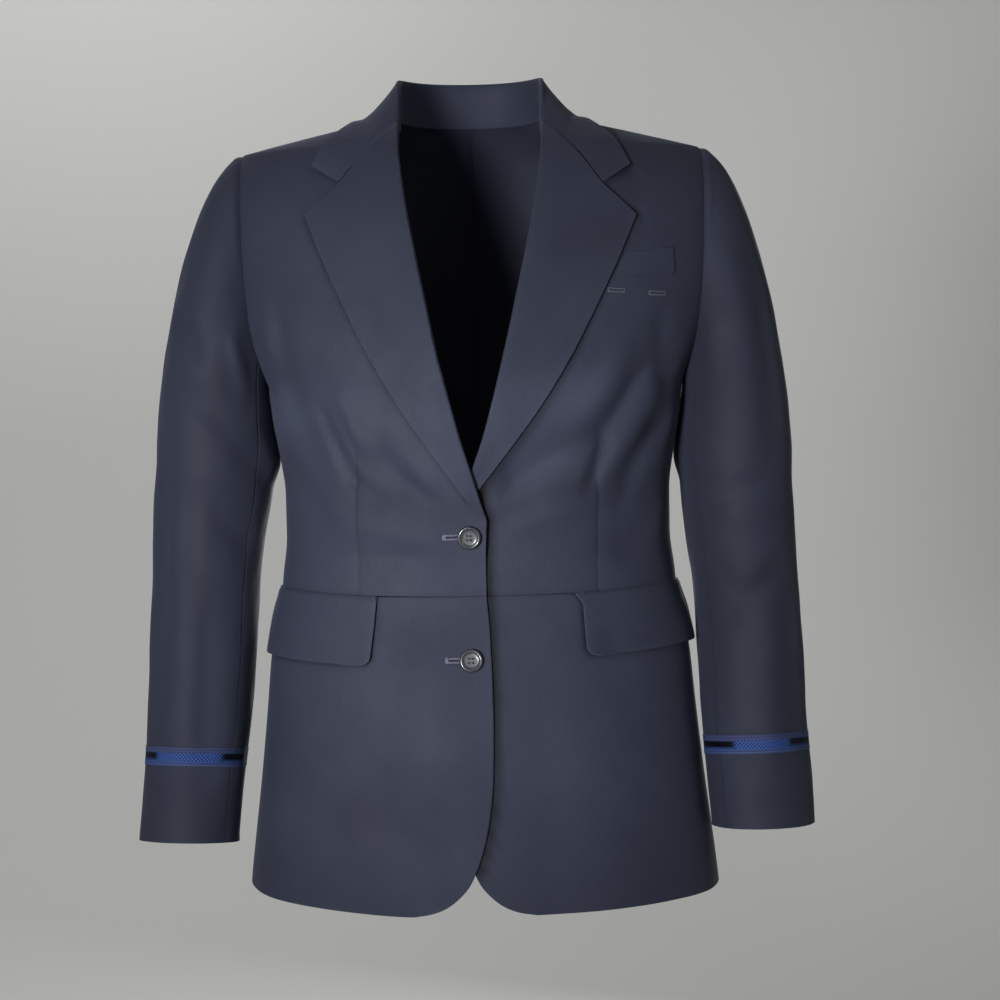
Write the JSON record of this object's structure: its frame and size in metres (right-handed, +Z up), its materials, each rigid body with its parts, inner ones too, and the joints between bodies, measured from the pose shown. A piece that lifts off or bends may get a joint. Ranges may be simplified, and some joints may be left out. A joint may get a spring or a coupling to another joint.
{
  "type": "pilot uniform jacket, worn form without a wearer",
  "caption": "Fitted single-breasted uniform jacket with notched lapels, waist seam, flap pockets, breast welt and blue braid above each cuff; hollow, as worn.",
  "frame": {"origin": "between the wearer's shoulders, on the middle line, level with the neck end of the shoulder seams", "axes": "+Z up, the front faces -Y, the wearer's left is +X"},
  "size_m": [0.5921, 0.2617, 0.7248],
  "materials": {
    "navy_worsted": "smooth matte worsted",
    "blue_braid": "ribbed braid with a slight sheen",
    "dark_button": "glossy rim"
  },
  "bodies": {
    "root": {"front_left": "navy_worsted", "front_right": "navy_worsted", "skirt_left": "navy_worsted", "skirt_right": "navy_worsted", "back_left": "navy_worsted", "back_right": "navy_worsted", "upper_sleeve_left": "navy_worsted", "upper_sleeve_right": "navy_worsted", "under_sleeve_left": "navy_worsted", "under_sleeve_right": "navy_worsted", "lapel_left": "navy_worsted", "lapel_right": "navy_worsted", "collar": "navy_worsted", "flap_left": "navy_worsted", "flap_right": "navy_worsted", "breast_welt": "navy_worsted", "braid_left": "blue_braid", "braid_right": "blue_braid", "button_top": "dark_button", "button_bottom": "dark_button"}
  },
  "joints": []
}
